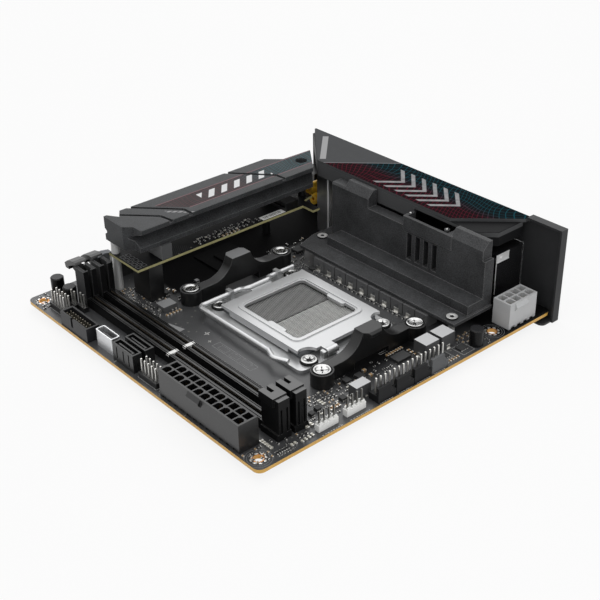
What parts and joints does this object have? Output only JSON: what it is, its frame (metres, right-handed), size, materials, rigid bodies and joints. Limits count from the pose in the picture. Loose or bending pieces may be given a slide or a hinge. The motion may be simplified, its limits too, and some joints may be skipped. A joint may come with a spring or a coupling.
{
  "type": "computer motherboard",
  "caption": "Small square computer motherboard with a levered processor socket, memory slots, heatsinks, a covered rear port block and edge headers.",
  "frame": {"origin": "midway between the two front standoff holes, on the circuit board's underside", "axes": "+X to the edge with the fan headers, +Y to the rear ports, +Z from the board up through its parts"},
  "size_m": [0.1726, 0.1796, 0.0462],
  "materials": {
    "board_black": "matte solder mask",
    "bright_steel": "plated, satin",
    "dark_steel": "black plating",
    "black_plastic": "matte",
    "dark_grey_plastic": "matte",
    "light_grey_plastic": "matte",
    "white_plastic": "satin",
    "mid_grey_plastic": "matte",
    "gold": "plated",
    "tin": "plated",
    "contact_grey": "fine grid",
    "ferrite": "pressed powder",
    "inductor_grey": "coated",
    "chip": "moulded",
    "heatsink_dark": "fine powder coat",
    "heatsink_grey": "fine powder coat",
    "cover_grey": "fine grain",
    "panel_print": "printed",
    "plate_dark": "matte",
    "port_shell": "plated",
    "can_black": "sleeved"
  },
  "bodies": {
    "board": {"pcb": "board_black", "backplate": "dark_steel", "cooler_bracket_near": "black_plastic", "cooler_bracket_far": "black_plastic", "cooler_screws": "bright_steel", "socket_housing": "dark_grey_plastic", "contact_field": "contact_grey", "socket_frame": "bright_steel", "socket_screws": "bright_steel", "dimm_slot_a": "black_plastic", "dimm_slot_b": "black_plastic", "dimm_keys": "white_plastic", "main_power": "black_plastic", "main_power_pins": "gold", "cpu_power": "light_grey_plastic", "cpu_power_pins": "gold", "usb_header": "dark_grey_plastic", "usb_header_pins": "gold", "type_c_shell": "bright_steel", "type_c_tongue": "black_plastic", "drive_sockets": "black_plastic", "pin_bases": "black_plastic", "header_pins": "gold", "fan_headers": "black_plastic", "pump_header": "mid_grey_plastic", "fan_pins": "tin", "light_headers": "white_plastic", "capacitors": "can_black", "vrm_chokes": "ferrite", "power_stages": "chip", "block_inductors": "inductor_grey", "chip_packages": "chip", "vrm_heatsink": "heatsink_dark", "vrm_screws": "bright_steel", "io_cover": "cover_grey", "io_panel": "panel_print", "io_plate": "plate_dark", "usb_stack": "port_shell", "network_stack": "port_shell", "video_ports": "port_shell", "type_c_socket": "port_shell", "audio_jacks": "black_plastic", "antenna_jacks": "gold", "button_switches": "black_plastic", "storage_heatsink": "heatsink_grey", "storage_screw": "dark_steel", "riser_board": "board_black", "riser_connector": "dark_grey_plastic", "storage_socket": "black_plastic", "riser_posts": "bright_steel", "support_block": "mid_grey_plastic", "chipset": "chip", "card_slot": "black_plastic"},
    "load_plate": {"load_plate": "bright_steel"},
    "load_lever": {"load_lever": "bright_steel"},
    "dimm_latch_a": {"dimm_latch_a": "dark_grey_plastic"},
    "dimm_latch_b": {"dimm_latch_b": "dark_grey_plastic"},
    "card_latch": {"card_latch": "dark_grey_plastic"},
    "flash_button": {"flash_button": "light_grey_plastic"},
    "clear_button": {"clear_button": "dark_grey_plastic"}
  },
  "joints": [
    {"name": "load_plate_hinge", "type": "hinge", "parent": "board", "child": "load_plate", "pos_m": [0.04643, 0.07713, 0.0054], "axis": [0, 1, 0], "range_deg": [0, 95]},
    {"name": "load_lever_hinge", "type": "hinge", "parent": "board", "child": "load_lever", "pos_m": [-0.01897, 0.07713, 0.0062], "axis": [0, -1, 0], "range_deg": [0, 105]},
    {"name": "dimm_latch_a_hinge", "type": "hinge", "parent": "board", "child": "dimm_latch_a", "pos_m": [-0.064, 0.01501, 0.0056], "axis": [0, 1, 0], "range_deg": [0, 26]},
    {"name": "dimm_latch_b_hinge", "type": "hinge", "parent": "board", "child": "dimm_latch_b", "pos_m": [-0.064, 0.02361, 0.0056], "axis": [0, 1, 0], "range_deg": [0, 26]},
    {"name": "card_latch_hinge", "type": "hinge", "parent": "board", "child": "card_latch", "pos_m": [-0.0768, 0.03361, 0.0056], "axis": [1, 0, 0], "range_deg": [0, 35]},
    {"name": "flash_button_slide", "type": "slide", "parent": "board", "child": "flash_button", "axis": [0, -1, 0], "range_m": [0, 0.0012], "stiffness_N_per_m": 400},
    {"name": "clear_button_slide", "type": "slide", "parent": "board", "child": "clear_button", "axis": [0, -1, 0], "range_m": [0, 0.0012], "stiffness_N_per_m": 400}
  ]
}
